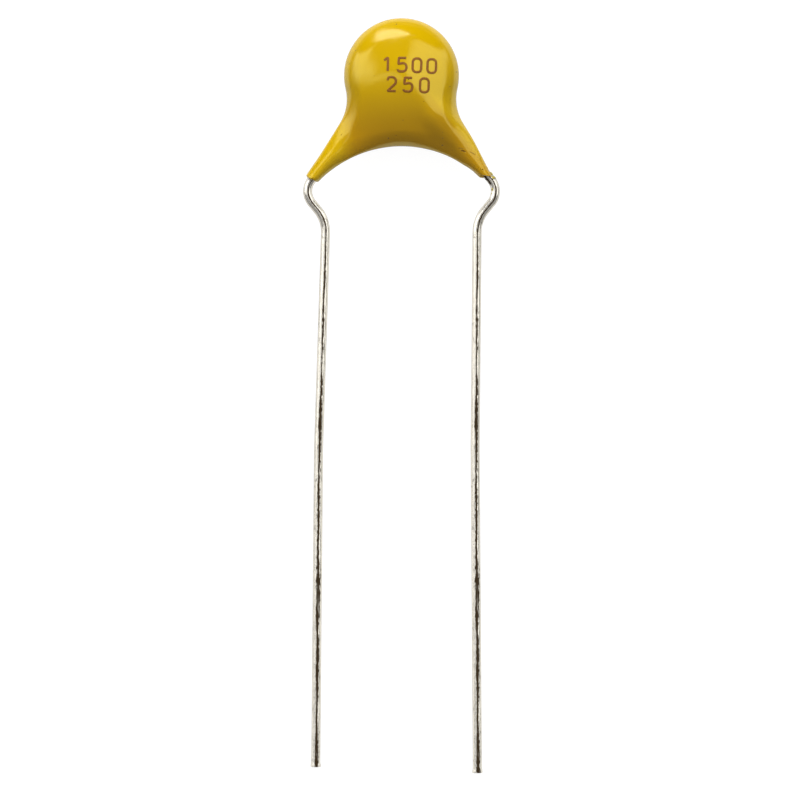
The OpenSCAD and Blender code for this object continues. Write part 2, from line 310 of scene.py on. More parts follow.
def makeEpoxy():
    material, tree, shader, place = newMaterial("mustard epoxy")
    marks = markCoat(tree, place)
    cloud = calc(tree, "SUBTRACT", noiseAt(tree, place, *epoxy["mottleNoise"]), 0.5)
    share = calc(tree, "ADD", unshadedShare(tree, place), calc(tree, "MULTIPLY", cloud, epoxy["mottle"]))
    # painted shade: the coat's colour darkens from its lit tone to the shaded tone by this share
    tone = mixColour(tree, share, epoxy["shadedColour"], epoxy["colour"])
    plug(tree, shader["Base Color"], mixColour(tree, marks, tone, epoxy["pitColour"]))
    grain = noiseAt(tree, place, *epoxy["grainNoise"])
    plug(tree, shader["Roughness"], ramp(tree, grain, *noiseSpan, *epoxy["roughness"]))
    waves = calc(tree, "MULTIPLY", noiseAt(tree, place, *epoxy["waveNoise"]), epoxy["waveHeight"])
    height = calc(tree, "ADD", waves, calc(tree, "MULTIPLY", grain, epoxy["grainHeight"]))
    height = calc(tree, "SUBTRACT", height, marks)
    plug(tree, shader["Normal"], bump(tree, height, epoxy["bumpDepth"], epoxy["bumpStrength"]))
    shader["IOR"].default_value = epoxy["ior"]
    shader["Specular IOR Level"].default_value = epoxy["glossLevel"]
    shader["Specular Tint"].default_value = epoxy["glossTint"]
    return material


# Tinned wire: bright drawn tin with a ragged brown line, a painted dark reflection, and dull patches. It
# reads two attributes
# of the swept wire: "ring", the place in its round section, where X points to the viewer's left and
# Y down, and "along", the metres from its soldered end.

tin = {
    "colour": (0.95, 0.91, 0.81, 1),
    "warmColour": (0.91, 0.84, 0.71, 1),
    "warmNoise": (6000.0,),  # scale, detail and roughness of each noise, as far as they are given
    "metallic": 0.78,
    "stainAndPaintedDarkMetallic": 0.3,
    "edgeTint": (0.22, 0.19, 0.14, 1),
    # colour of stains, of the painted dark reflection line and of the painted dark edge
    "stainAndPaintedDarkColour": (0.05, 0.031, 0.015, 1),
    "drawnStretch": 0.06,  # share of the way along the wire that a noise sees: long streaks
    "looseStretch": 0.45,  # and short ones
    # the ragged brown line is a painted dark reflection down the wire's upper side
    "lineOffset": -0.00005,
    "lineWidth": (0.00003, 0.00009),
    "lineNoise": (6000.0, 4.0, 0.6),
    "lineGrowth": (0.012, 0.046, 0.75, 2.0),  # from and to, along the wire, and shares of the width
    "lineRagged": (0.35, 0.65, 0.65, 1.3),  # noise levels, and shares of the width
    "raggedNoise": (9000.0, 4.0, 0.6),
    "lineEdge": (0.8, 1.2),
    "broken": {"Scale": 5000.0, "Amount": 0.88},  # the line shows only within these patches
    "dull": {"Scale": 2600.0, "Amount": 0.3},
    "dullStain": 0.75,
    "scratched": {"Scale": 9000.0, "Amount": 0.5},
    # a painted dark edge along the scraped stretch, standing in for shade
    "darkEdgeOffset": 0.0002,
    "darkEdgeWidth": (0.00005, 0.00008),
    "scrapedStart": (-0.0001, 0.0001),  # soft borders of the scraped stretch
    "scrapedEnd": (-0.0002, 0.0001),
    "roughness": (0.112, 0.24),
    "stainAndPaintedDarkRoughness": 0.3,
    "streakNoise": (16000.0, 3.0),
    "streakHeight": 0.5,  # over the height of the grooves
    "grooveNoise": (2500.0, 3.0),
    "bumpDepth": 0.000018,
    "bumpStrength": 0.8,
}


def wireSpace(tree, stretch):
    ring = addNode(tree, "ShaderNodeAttribute", attribute_name="ring").outputs["Vector"]
    along = addNode(tree, "ShaderNodeAttribute", attribute_name="along").outputs["Fac"]
    squeezed = calc(tree, "MULTIPLY", along, stretch)
    down = addNode(tree, "ShaderNodeCombineXYZ", {"Z": squeezed}).outputs[0]
    return vectorCalc(tree, "ADD", ring, down), xyz(tree, ring), along


def distanceFrom(tree, value, place):
    return calc(tree, "ABSOLUTE", calc(tree, "SUBTRACT", value, place))


# painted reflection: a ragged brown line paints the dark reflection down the wire's upper side
def paintedReflectionLine(tree, drawn, loose, section, along):  # down the upper side, wider towards the tip
    width = ramp(tree, noiseAt(tree, drawn, *tin["lineNoise"]), *noiseSpan, *tin["lineWidth"])
    width = calc(tree, "MULTIPLY", width, ramp(tree, along, *tin["lineGrowth"]))
    ragged = ramp(tree, noiseAt(tree, loose, *tin["raggedNoise"]), *tin["lineRagged"])
    width = calc(tree, "MULTIPLY", width, ragged)
    offset = calc(tree, "DIVIDE", distanceFrom(tree, section[0], tin["lineOffset"]), width)
    upper = calc(tree, "LESS_THAN", section[1], 0.0)
    line = calc(tree, "MULTIPLY", ramp(tree, offset, *tin["lineEdge"], 1, 0), upper)
    return calc(tree, "MULTIPLY", line, useGroup(tree, raggedPatches, {"Vector": drawn, **tin["broken"]}))


# painted shade: the dark streak beside the scratches is painted shade
def scrapedStretch(tree, loose, section, along, start, end):  # scratches beside a burnt streak
    opening = [start + shift for shift in tin["scrapedStart"]]
    closing = [end + shift for shift in tin["scrapedEnd"]]
    inside = calc(tree, "MULTIPLY", ramp(tree, along, *opening), ramp(tree, along, *closing, 1, 0))
    scratched = useGroup(tree, raggedPatches, {"Vector": loose, **tin["scratched"]})
    # painted shade along one side of the scraped stretch
    paintedDarkEdge = ramp(tree, distanceFrom(tree, section[0], tin["darkEdgeOffset"]), *tin["darkEdgeWidth"], 1, 0)
    return calc(tree, "MULTIPLY", inside, calc(tree, "MAXIMUM", scratched, paintedDarkEdge))


def makeTin(name, scrapedReach=None):
    material, tree, shader, _ = newMaterial(name)
    drawn, section, along = wireSpace(tree, tin["drawnStretch"])
    loose = wireSpace(tree, tin["looseStretch"])[0]
    dull = useGroup(tree, raggedPatches, {"Vector": loose, **tin["dull"]})
    # one mask for stains, dull patches, the painted reflection line and the painted dark edge
    stainAndPaintedDark = calc(tree, "MAXIMUM", paintedReflectionLine(tree, drawn, loose, section, along),
        calc(tree, "MULTIPLY", dull, tin["dullStain"]))
    if scrapedReach:
        scraped = scrapedStretch(tree, loose, section, along, *scrapedReach)
        stainAndPaintedDark = calc(tree, "MAXIMUM", stainAndPaintedDark, scraped)
    tone = mixColour(tree, noiseAt(tree, drawn, *tin["warmNoise"]), tin["colour"], tin["warmColour"])
    plug(tree, shader["Base Color"], mixColour(tree, stainAndPaintedDark, tone, tin["stainAndPaintedDarkColour"]))
    plug(tree, shader["Metallic"], ramp(tree, stainAndPaintedDark, 0.0, 1.0, tin["metallic"], tin["stainAndPaintedDarkMetallic"]))
    streaks = noiseAt(tree, drawn, *tin["streakNoise"])
    rough = ramp(tree, streaks, *noiseSpan, *tin["roughness"])
    roughStainAndPaintedDark = calc(tree, "MULTIPLY", stainAndPaintedDark, tin["stainAndPaintedDarkRoughness"])
    plug(tree, shader["Roughness"], calc(tree, "ADD", rough, roughStainAndPaintedDark))
    grooves = calc(tree, "ADD", calc(tree, "MULTIPLY", streaks, tin["streakHeight"]),
        noiseAt(tree, loose, *tin["grooveNoise"]))
    plug(tree, shader["Normal"], bump(tree, grooves, tin["bumpDepth"], tin["bumpStrength"]))
    shader["Specular Tint"].default_value = tin["edgeTint"]
    return material


# Materials of what is sealed inside, and of the marking and the crumbs of coating: two tones by
# a grain, with darker dots

grainy = {
    "grainNoise": (5.0, 0.6),  # detail and roughness
    "roughSpan": (0.2, 0.8),
    "roughShares": (0.85, 1.15),
    "dotsPerGrain": 0.25,
    "dots": {"Size": 0.2, "Share": 0.3},
    "dotDepth": 0.3,
    "bumpStrength": 0.6,
}
plain = {
    "ceramic": {"first": (0.46, 0.33, 0.21, 1), "second": (0.56, 0.43, 0.29, 1),
        "metal": 0.0, "roughness": 0.55, "grain": 9000.0, "depth": 0.00001},
    "fired silver": {"first": (0.72, 0.71, 0.68, 1), "second": (0.86, 0.85, 0.82, 1),
        "metal": 1.0, "roughness": 0.42, "grain": 14000.0, "depth": 0.000006},
    "solder": {"first": (0.56, 0.57, 0.58, 1), "second": (0.74, 0.75, 0.76, 1),
        "metal": 1.0, "roughness": 0.24, "grain": 3000.0, "depth": 0.00003},
    "brown marking": {"first": (0.2, 0.062, 0.002, 1), "second": (0.32, 0.12, 0.004, 1),
        "metal": 0.0, "roughness": 0.6, "grain": 12000.0, "depth": 0.000004},
    "epoxy crumbs": {"first": (0.4, 0.3, 0.02, 1), "second": (0.55, 0.44, 0.06, 1),
        "metal": 0.0, "roughness": 0.35, "grain": 11000.0, "depth": 0.00001},
}


def makePlain(name):
    look = plain[name]
    material, tree, shader, place = newMaterial(name)
    grain = noiseAt(tree, place, look["grain"], *grainy["grainNoise"])
    dots = useGroup(tree, specks, {
        "Vector": place, "Scale": look["grain"] * grainy["dotsPerGrain"], **grainy["dots"]})
    tone = mixColour(tree, ramp(tree, grain, *noiseSpan), look["first"], look["second"])
    dark = calc(tree, "MULTIPLY", dots, grainy["dotDepth"])
    plug(tree, shader["Base Color"], mixColour(tree, dark, tone, look["first"]))
    rough = [look["roughness"] * share for share in grainy["roughShares"]]
    plug(tree, shader["Roughness"], ramp(tree, grain, *grainy["roughSpan"], *rough))
    plug(tree, shader["Normal"], bump(tree, grain, look["depth"], grainy["bumpStrength"]))
    shader["Metallic"].default_value = look["metal"]
    return material


scrapedReach = (0.0095, 0.0108)  # of the right wire, just outside its coat
mustardEpoxy = makeEpoxy()
leftTin = makeTin("tinned wire")
rightTin = makeTin("tinned wire with a scraped end", scrapedReach)
finishes = {name: makePlain(name) for name in plain}
print("materials built:", len(bpy.data.materials))


# Coating: ribs run square from its outer edge to the arch, over the dome and both wires.
# Lengths are in millimetres. The disc and the waist each take a share of half the outer edge and
# reach a share of half the arch.

coating = {
    "domeHeight": 1.75,
    "domeFall": 0.92,
    "wireCover": 0.26,
    "tipCover": 0.14,
    "edgeRound": 1.25,
    "archRound": 1.1,
    "webHeight": 0.86,
    "webThickness": 1.2,
    "levelEase": 0.6,
    "ridgeSpread": 2.2,
    "ridgeBlend": 0.1,
    "wireEndSpread": 1.5,
    "webBlend": 0.5,
    "domeBlend": 0.35,
    "legTaper": 9,
    "waistRadius": 3,
    "discShare": 0.56,
    "waistShare": 0.18,
    "discArch": 0.36,
    "waistArch": 0.5,
    "ribs": 150,  # across half of the coating
    "ribSteps": 64,
    "ribPull": 0.4,  # how far a rib keeps its first and last direction, as a share of its chord
    "lipSteps": 5,
    "lipReach": 0.16,
    "lipDraw": 0.22,
    "waveDepth": 0.012,
    "waveSize": 1.1,
    "ruffles": [(3.1, 4.7, 0, 1), (9.0, 9.0, 4, 0.5)],  # scale across and up, shift and share
    # where each leg's coat ends past or short of the rule, how oblique and how ragged it is,
    # how much slimmer its outer side is there, and how far it sits towards the arch
    "ends": {
        1: {"past": -0.3, "slant": 0.55, "ragged": 0.16, "from": 6.9,
            "slim": 0.11, "slimFrom": 5.8, "shift": 0.08},
        -1: {"past": 0.03, "slant": 0.3, "ragged": 0.07, "from": 7.6,
            "slim": -0.05, "slimFrom": 7.0, "shift": 0.0},
    },
}


def softMax(first, second, softness):
    return (first + second + math.hypot(first - second, softness)) / 2


def wireLevel(s):  # height of a wire's middle at s along it
    ease = coating["levelEase"]
    start, end = build["diveReach"] - ease, build["levelReach"] + ease
    fall = min(1, max(0, s - start) / (end - start))
    return build["wireHeight"] * (1 - fall * fall * (3 - 2 * fall))


def ridge(s, t, side):  # height of the coat over a wire, at s along it and t beside it
    thinning = max(0, 1 - max(0, s) / build["legReach"])
    cover = coating["tipCover"] + (coating["wireCover"] - coating["tipCover"]) * thinning
    crown = side * wireLevel(s) + build["wireRadius"] + cover - t * t / coating["ridgeSpread"]
    wireEnd = max(0, -s - build["wirePast"] / 2) ** 2 / coating["wireEndSpread"]
    farWire = 0 if side > 0 else max(0, build["legReach"] / 2 - s) ** 2
    return crown - wireEnd - farWire


def skinHeight(x, y, side):  # the dome, the web and both ridges, blended
    reach, legReach, coatRadius = math.hypot(x, y), build["legReach"], build["coatRadius"]
    dome = coating["domeHeight"] - coating["domeFall"] * (reach / coatRadius) ** 2
    web = coating["webThickness"] / 2 * (legReach - reach) / (legReach - coatRadius)
    right = ridge(x * leadDir.x + y * leadDir.y, x * leadSide.x + y * leadSide.y, side)
    left = ridge(-x * leadDir.x + y * leadDir.y, -x * leadSide.x + y * leadSide.y, -side)
    body = softMax(dome, web, coating["webBlend"])
    return softMax(body, softMax(right, left, coating["ridgeBlend"]), coating["domeBlend"])


def onCircle(angle):
    return Vector((math.cos(angle), math.sin(angle)))


tipHalfWidth = build["wireRadius"] + coating["tipCover"]
tipOuter = build["legReach"] * leadDir + tipHalfWidth * leadSide
tipInner = build["legReach"] * leadDir - tipHalfWidth * leadSide
edgeAngle = leadAngle + math.radians(coating["legTaper"])
edgeNormal = Vector((math.sin(edgeAngle), math.cos(edgeAngle)))
waistDistance = build["coatRadius"] + coating["waistRadius"]
waistTurn = math.acos((tipOuter.dot(edgeNormal) + coating["waistRadius"]) / waistDistance)
waistAngle = math.pi / 2 - edgeAngle - waistTurn
waistMiddle = waistDistance * onCircle(waistAngle)
edgeStart = waistMiddle - coating["waistRadius"] * edgeNormal
archTop = -(build["coatRadius"] + coating["webHeight"])
archDrop = archTop - tipInner.y
archRadius = (tipInner.x ** 2 + archDrop ** 2) / (2 * archDrop)
archMiddle = Vector((0, archTop - archRadius))
archEnd = math.asin(tipInner.x / archRadius)


def outerEdge(u):  # point and inward direction at share u of the right half's outer edge
    disc, waist = coating["discShare"], coating["waistShare"]
    if u < disc:
        out = onCircle(math.pi / 2 + (waistAngle - math.pi / 2) * u / disc)
        return build["coatRadius"] * out, -out
    if u < disc + waist:
        inward = onCircle(waistAngle + math.pi + waistTurn * (u - disc) / waist)
        return waistMiddle + coating["waistRadius"] * inward, inward
    k = (u - disc - waist) / (1 - disc - waist)
    return edgeStart.lerp(tipOuter, k), (-leadSide * k - edgeNormal * (1 - k)).normalized()


def innerEdge(u):  # the arch opposite it
    disc, waist = coating["discShare"], coating["waistShare"]
    discArch, waistArch = coating["discArch"], coating["waistArch"]
    if u < disc:
        share = discArch * u / disc
    elif u < disc + waist:
        share = discArch + (waistArch - discArch) * (u - disc) / waist
    else:
        share = waistArch + (1 - waistArch) * (u - disc - waist) / (1 - disc - waist)
    out = onCircle(math.pi / 2 - archEnd * share)
    return archMiddle + archRadius * out, out


def skinLoop(u):  # closed loop round one rib: over the front, then back along the other face
    (outer, outerIn), (inner, innerIn) = outerEdge(abs(u)), innerEdge(abs(u))
    chord = (outer - inner).length
    edgeWidth, archWidth = min(coating["edgeRound"], chord / 2), min(coating["archRound"], chord / 2)
    steps, pull = coating["ribSteps"], coating["ribPull"] * chord
    loop = []
    for j in range(2 * steps):
        front = j <= steps
        v = (1 - math.cos(math.pi * (j / steps if front else 2 - j / steps))) / 2
        flat = ((1 - v) ** 3 * outer + 3 * (1 - v) ** 2 * v * (outer + pull * outerIn)
            + 3 * (1 - v) * v ** 2 * (inner + pull * innerIn) + v ** 3 * inner)
        depth = min((flat - outer).length / edgeWidth, (flat - inner).length / archWidth)
        rise = 1 if depth >= 1 else math.sqrt(1 - (1 - depth) ** 2)
        x = flat.x if u >= 0 else -flat.x
        high, low = skinHeight(x, flat.y, 1), skinHeight(x, flat.y, -1)
        z = (high - low) / 2 + (1 if front else -1) * rise * (high + low) / 2
        loop.append(Vector((x, flat.y, z)))
    return loop


def lipLoop(loop, side, out, share):  # the coat draws in to the wire past the last rib
    along = Vector((side * leadDir.x, leadDir.y, 0))
    middle = build["legReach"] * along
    return [middle + share * (point - middle) + out * along for point in loop]


def eased(value, start):  # soft share of the way from start to the end of a leg
    share = max(0, min(1, (value - start) / (build["legReach"] - start)))
    return share * share * (3 - 2 * share)


def raggedEnd(point):  # slides the end of a leg along its wire, further on one side
    side = 1 if point.x > 0 else -1
    end = coating["ends"][side]
    s = side * point.x * leadDir.x + point.y * leadDir.y
    t = side * point.x * leadSide.x + point.y * leadSide.y
    if s < min(end["from"], end["slimFrom"]):
        return point
    ruffle = 0
    for across, up, shift, share in coating["ruffles"]:
        ruffle += share * noise.noise(Vector((point.x * across, point.y * across, point.z * up + shift)))
    slide = (end["past"] + end["slant"] * t + end["ragged"] * ruffle) * eased(s, end["from"])
    slim = (end["shift"] + end["slim"] * min(1, max(0, t) / tipHalfWidth)) * eased(s, end["slimFrom"])
    return (point + Vector((side * leadDir.x, leadDir.y, 0)) * slide
        - Vector((side * leadSide.x, leadSide.y, 0)) * slim)


def closedSkin(name, loops):
    count, rows = len(loops[0]), len(loops)
    points = [point for loop in loops for point in loop]
    faces = []
    for i in range(rows - 1):
        for j in range(count):
            k = (j + 1) % count
            faces.append((i * count + j, i * count + k, (i + 1) * count + k, (i + 1) * count + j))
    for row, order in ((0, -1), (rows - 1, 1)):
        hub = len(points)
        points.append(sum(loops[row], Vector()) / count)
        for j in range(count)[::order]:
            faces.append((hub, row * count + j, row * count + (j + order) % count))
    mesh = bpy.data.meshes.new(name)
    mesh.from_pydata([atRest(point) for point in points], [], faces)
    mesh.polygons.foreach_set("use_smooth", [True] * len(mesh.polygons))
    mesh.update()
    piece = bpy.data.objects.new(name, mesh)
    bpy.context.collection.objects.link(piece)
    return piece


def settleWaves(mesh):  # the dip leaves the skin very slightly uneven, only inwards
    normals = [vertex.normal.copy() for vertex in mesh.vertices]
    for vertex, normal in zip(mesh.vertices, normals):
        swell = 0.5 + 0.5 * noise.noise(vertex.co / (coating["waveSize"] * mm))
        vertex.co -= normal * coating["waveDepth"] * mm * swell
    mesh.update()


def makeCoating():
    ribs = coating["ribs"]
    loops = [skinLoop(i / ribs) for i in range(-ribs, ribs + 1)]
    lips = []
    for k in range(1, coating["lipSteps"] + 1):
        turn = math.pi / 2 * k / coating["lipSteps"]
        lips.append((coating["lipReach"] * math.sin(turn), 1 - coating["lipDraw"] * (1 - math.cos(turn))))
    before = [lipLoop(loops[0], -1, out, share) for out, share in reversed(lips)]
    after = [lipLoop(loops[-1], 1, out, share) for out, share in lips]
    loops = [[raggedEnd(point) for point in loop] for loop in before + loops + after]
    piece = closedSkin("coating_skin", loops)
    settleWaves(piece.data)
    piece.data.materials.append(mustardEpoxy)
    return piece


coatingSkin = makeCoating()
print("coating made:", len(coatingSkin.data.polygons), "faces")


# Geometry Nodes: a guide of corner points goes in, a plain mesh comes out

def guideMesh(name, runs):  # runs of corners, each a place and a corner radius in metres
    places, edges, radii = [], [], []
    for run in runs:
        for index, (place, radius) in enumerate(run):
            if index:
                edges.append((len(places) - 1, len(places)))
            places.append(place)
            radii.append(radius)
    mesh = bpy.data.meshes.new(name)
    mesh.from_pydata(places, edges, [])
    mesh.attributes.new("cornerRadius", "FLOAT", "POINT").data.foreach_set("value", radii)
    piece = bpy.data.objects.new(name, mesh)
    bpy.context.collection.objects.link(piece)
    return piece


def bakeNodes(piece, tree, inputs):  # sets the inputs, evaluates once and keeps a plain mesh
    modifier = piece.modifiers.new("build", "NODES")
    modifier.node_group = tree
    for item in tree.interface.items_tree:
        if item.item_type == "SOCKET" and item.in_out == "INPUT" and item.name in inputs:
            modifier[item.identifier] = inputs[item.name]
    bpy.context.view_layer.update()
    result = piece.evaluated_get(bpy.context.evaluated_depsgraph_get())
    mesh = bpy.data.meshes.new_from_object(result)
    piece.modifiers.remove(modifier)
    piece.data = mesh
    return piece


def roundedPath(tree, given, cornerSteps=16):
    radius = addNode(tree, "GeometryNodeInputNamedAttribute", {"Name": "cornerRadius"}).outputs[0]
    curve = addNode(tree, "GeometryNodeMeshToCurve", {"Mesh": given["Geometry"]}).outputs[0]
    fillet = addNode(tree, "GeometryNodeFilletCurve", {"Curve": curve, "Radius": radius}, mode="POLY")
    fillet.inputs["Count"].default_value = cornerSteps
    fillet.inputs["Limit Radius"].default_value = True
    resample = addNode(tree, "GeometryNodeResampleCurve", {"Curve": fillet.outputs[0]}, mode="LENGTH")
    plug(tree, resample.inputs["Length"], given["Step"])
    return resample.outputs[0]


def storeNamed(tree, geometry, name, value, kind):
    node = addNode(tree, "GeometryNodeStoreNamedAttribute",
        {"Geometry": geometry, "Name": name}, data_type=kind, domain="POINT")
    plug(tree, node.inputs["Value"], value)
    return node.outputs[0]


def finishTree(tree, geometry, material, result):
    real = addNode(tree, "GeometryNodeRealizeInstances", {"Geometry": geometry}).outputs[0]
    smooth = addNode(tree, "GeometryNodeSetShadeSmooth", {"Geometry": real}).outputs[0]
    node = addNode(tree, "GeometryNodeSetMaterial", {"Geometry": smooth, "Material": material})
    plug(tree, result["Geometry"], node.outputs[0])


# Leads: a round wire swept along its rounded corners, with a cropped tip

leads = {
    "right_wire": {"node": "right_lead", "side": 1, "pinLength": 36.7, "bow": -0.12, "tipOut": 0.04,
        "material": rightTin},
    "left_wire": {"node": "left_lead", "side": -1, "pinLength": 36.3, "bow": 0.5, "tipOut": 0.7,
        "material": leftTin},
}
wire = {
    "bends": (0, 1.5, 1.5, 1.2, 2.3, 3, 0),  # radius at each corner
    "sides": 32,
    "step": 0.07,
    "dent": 0.006,
    "dentSize": 0.9,
    "dentDetail": 3.0,
    "flare": 0.045,
    "flareLength": 0.35,
}


def leadCorners(lead):
    kinkY = -build["kinkReach"] * math.sin(leadAngle)
    pinY = kinkY - build["kinkDrop"]
    corners = [
        (*(-build["wirePast"] * leadDir), build["wireHeight"]),
        (*(build["diveReach"] * leadDir), build["wireHeight"]),
        (*(build["levelReach"] * leadDir), 0),
        (build["kinkX"], kinkY, 0),
        (build["pinX"], pinY, 0),
        (build["pinX"] + lead["bow"], pinY - build["bowDrop"], 0),
        (build["pinX"] + lead["tipOut"], pinY - lead["pinLength"], 0),
    ]
    return [atRest((lead["side"] * x, y, lead["side"] * z)) for x, y, z in corners]


def makeWireTree():
    tree, given, result = newTree("wire along corners", "GeometryNodeTree", {
        "Geometry": "Geometry", "Radius": "Float", "Sides": "Int", "Step": "Float", "Dent": "Float",
        "Dent size": "Float", "Flare": "Float", "Flare length": "Float", "Material": "Material",
    }, {"Geometry": "Geometry"})
    path = roundedPath(tree, given)
    path = addNode(tree, "GeometryNodeSetCurveNormal", {"Curve": path}, mode="Z_UP").outputs[0]
    spline = tree.nodes.new("GeometryNodeSplineParameter")
    path = storeNamed(tree, path, "along", spline.outputs["Length"], "FLOAT")
    total = tree.nodes.new("GeometryNodeSplineLength").outputs["Length"]
    left = calc(tree, "SUBTRACT", total, spline.outputs["Length"])
    path = storeNamed(tree, path, "beforeEnd", left, "FLOAT")
    ring = addNode(tree, "GeometryNodeCurvePrimitiveCircle",
        {"Resolution": given["Sides"], "Radius": given["Radius"]}).outputs[0]
    place = tree.nodes.new("GeometryNodeInputPosition").outputs[0]
    ring = storeNamed(tree, ring, "ring", place, "FLOAT_VECTOR")
    sweep = addNode(tree, "GeometryNodeCurveToMesh",
        {"Curve": path, "Profile Curve": ring, "Fill Caps": True}).outputs[0]
    ends = addNode(tree, "GeometryNodeInputNamedAttribute", {"Name": "beforeEnd"}).outputs[0]
    normal = tree.nodes.new("GeometryNodeInputNormal").outputs[0]
    scaled = vectorCalc(tree, "DIVIDE", place, addNode(tree, "ShaderNodeCombineXYZ", {
        "X": given["Dent size"], "Y": given["Dent size"], "Z": given["Dent size"]}).outputs[0])
    dents = noiseAt(tree, scaled, 1.0, wire["dentDetail"])
    inward = calc(tree, "MULTIPLY", calc(tree, "MULTIPLY", dents, given["Dent"]), -1.0)
    offset = vectorCalc(tree, "SCALE", normal)
    plug(tree, offset.node.inputs["Scale"], inward)
    nearEnd = ramp(tree, calc(tree, "DIVIDE", ends, given["Flare length"]), 0.0, 1.0, 1.0, 0.0)
    flare = addNode(tree, "ShaderNodeCombineXYZ", {"X": calc(tree, "MULTIPLY", given["Flare"], nearEnd)})
    sideways = vectorCalc(tree, "MULTIPLY", normal, flare.outputs[0])
    moved = addNode(tree, "GeometryNodeSetPosition",
        {"Geometry": sweep, "Offset": vectorCalc(tree, "ADD", offset, sideways)}).outputs[0]
    finishTree(tree, moved, given["Material"], result)
    return tree


def makeWires():
    tree = makeWireTree()
    pieces = {}
    for name, lead in leads.items():
        corners = zip(leadCorners(lead), (radius * mm for radius in wire["bends"]))
        guide = guideMesh(name, [list(corners)])
        pieces[name] = bakeNodes(guide, tree, {
            "Radius": build["wireRadius"] * mm, "Sides": wire["sides"], "Step": wire["step"] * mm,
            "Dent": wire["dent"] * mm, "Dent size": wire["dentSize"] * mm, "Flare": wire["flare"] * mm,
            "Flare length": wire["flareLength"] * mm, "Material": lead["material"]})
    return pieces


wires = makeWires()
print("wires made:", {name: len(piece.data.polygons) for name, piece in wires.items()})


# Marking: plain numbers, as strokes that lie on the coating

marking = {
    "height": 0.9,
    "width": 0.56,
    "stroke": 0.085,  # half width
    "thickness": 0.012,
    "lift": 0.002,
    "step": 0.03,
    "sides": 10,
    "dropFrom": 3,  # height over the disc that the strokes are dropped from, and how far they fall
    "dropReach": 10,
    "tilt": -2,
    "lines": [
        {"digits": "1500", "middle": (0.53, 0.68), "advance": 0.97},
        {"digits": "250", "middle": (0.43, -0.61), "advance": 1.07},
    ],
}
strokes = {  # corners on a grid one wide and one high, each with its own rounding
    "1": [(0.1, 0.78, 0.0), (0.55, 1.0, 0.05), (0.55, 0.0, 0.0)],
    "2": [(0.0, 0.76, 0.0), (0.05, 1.0, 0.3), (1.0, 1.0, 0.45), (0.95, 0.55, 0.4), (0.0, 0.0, 0.04),
        (1.0, 0.0, 0.0)],
    "5": [(0.95, 1.0, 0.0), (0.1, 1.0, 0.03), (0.05, 0.55, 0.04), (1.0, 0.66, 0.4), (1.0, 0.0, 0.45),
        (0.0, 0.0, 0.35), (0.0, 0.16, 0.0)],
    "0": [(0.5, 1.0, 0.0), (0.0, 1.0, 0.42), (0.0, 0.0, 0.42), (1.0, 0.0, 0.42), (1.0, 1.0, 0.42),
        (0.5, 1.0, 0.0)],
}


def markingRuns():
    runs = []
    turn = Matrix.Rotation(math.radians(marking["tilt"]), 2)
    for line in marking["lines"]:
        for index, digit in enumerate(line["digits"]):
            shift = (index - (len(line["digits"]) - 1) / 2) * line["advance"]
            run = []
            for x, y, corner in strokes[digit]:
                across, up = (x - 0.5) * marking["width"], (y - 0.5) * marking["height"]
                flat = Vector(line["middle"]) + turn @ Vector((shift + across, up))
                run.append((atRest((*flat, marking["dropFrom"])), corner * marking["width"] * mm))
            runs.append(run)
    return runs


def makeMarkingTree():
    tree, given, result = newTree("strokes on a surface", "GeometryNodeTree", {
        "Geometry": "Geometry", "Surface": "Object", "Half width": "Float", "Thickness": "Float",
        "Lift": "Float", "Step": "Float", "Sides": "Int", "Reach": "Float", "Material": "Material",
    }, {"Geometry": "Geometry"})
    path = roundedPath(tree, given)
    surface = addNode(tree, "GeometryNodeObjectInfo", {"Object": given["Surface"]}).outputs["Geometry"]
    ray = addNode(tree, "GeometryNodeRaycast", {
        "Target Geometry": surface, "Ray Direction": (0, 0, -1), "Ray Length": given["Reach"]})
    lift = vectorCalc(tree, "SCALE", ray.outputs["Hit Normal"])
    plug(tree, lift.node.inputs["Scale"], given["Lift"])
    landed = vectorCalc(tree, "ADD", ray.outputs["Hit Position"], lift)
    normals = addNode(tree, "GeometryNodeSetCurveNormal",
        {"Curve": path, "Normal": ray.outputs["Hit Normal"]}, mode="FREE").outputs[0]
    path = addNode(tree, "GeometryNodeSetPosition", {"Geometry": normals, "Position": landed}).outputs[0]
    circle = addNode(tree, "GeometryNodeCurvePrimitiveCircle",
        {"Resolution": given["Sides"], "Radius": 1.0}).outputs[0]
    size = addNode(tree, "ShaderNodeCombineXYZ",
        {"X": given["Thickness"], "Y": given["Half width"]}).outputs[0]
    section = addNode(tree, "GeometryNodeTransform", {"Geometry": circle, "Scale": size}).outputs[0]
    ribbon = addNode(tree, "GeometryNodeCurveToMesh",
        {"Curve": path, "Profile Curve": section, "Fill Caps": True}).outputs[0]
    finishTree(tree, ribbon, given["Material"], result)
    return tree


def makeMarking():
    guide = guideMesh("marking", markingRuns())
    return bakeNodes(guide, makeMarkingTree(), {
        "Surface": coatingSkin, "Half width": marking["stroke"] * mm,
        "Thickness": marking["thickness"] * mm, "Lift": marking["lift"] * mm, "Step": marking["step"] * mm,
        "Sides": marking["sides"], "Reach": marking["dropReach"] * mm,
        "Material": finishes["brown marking"]})


markingPiece = makeMarking()
print("marking made:", len(markingPiece.data.polygons), "faces")


# Crumbs: bits of coating left on the right wire between the coat and the kink

crumbs = {
    "smallest": (0.4, 0.4, 0.2),  # shares of the size that each patch gives its crumbs
    "largest": (1.3, 1.0, 0.6),
    "fineness": 2,
    "patches": {
        "crumbs_outer": {
            "middle": (6.0, -6.58, 0.15), "reach": 0.26, "density": 60, "size": 0.08, "seed": 3},
        "crumbs_inner": {
            "middle": (5.98, -7.56, 0.1), "reach": 0.26, "density": 45, "size": 0.06, "seed": 8},
    },
}


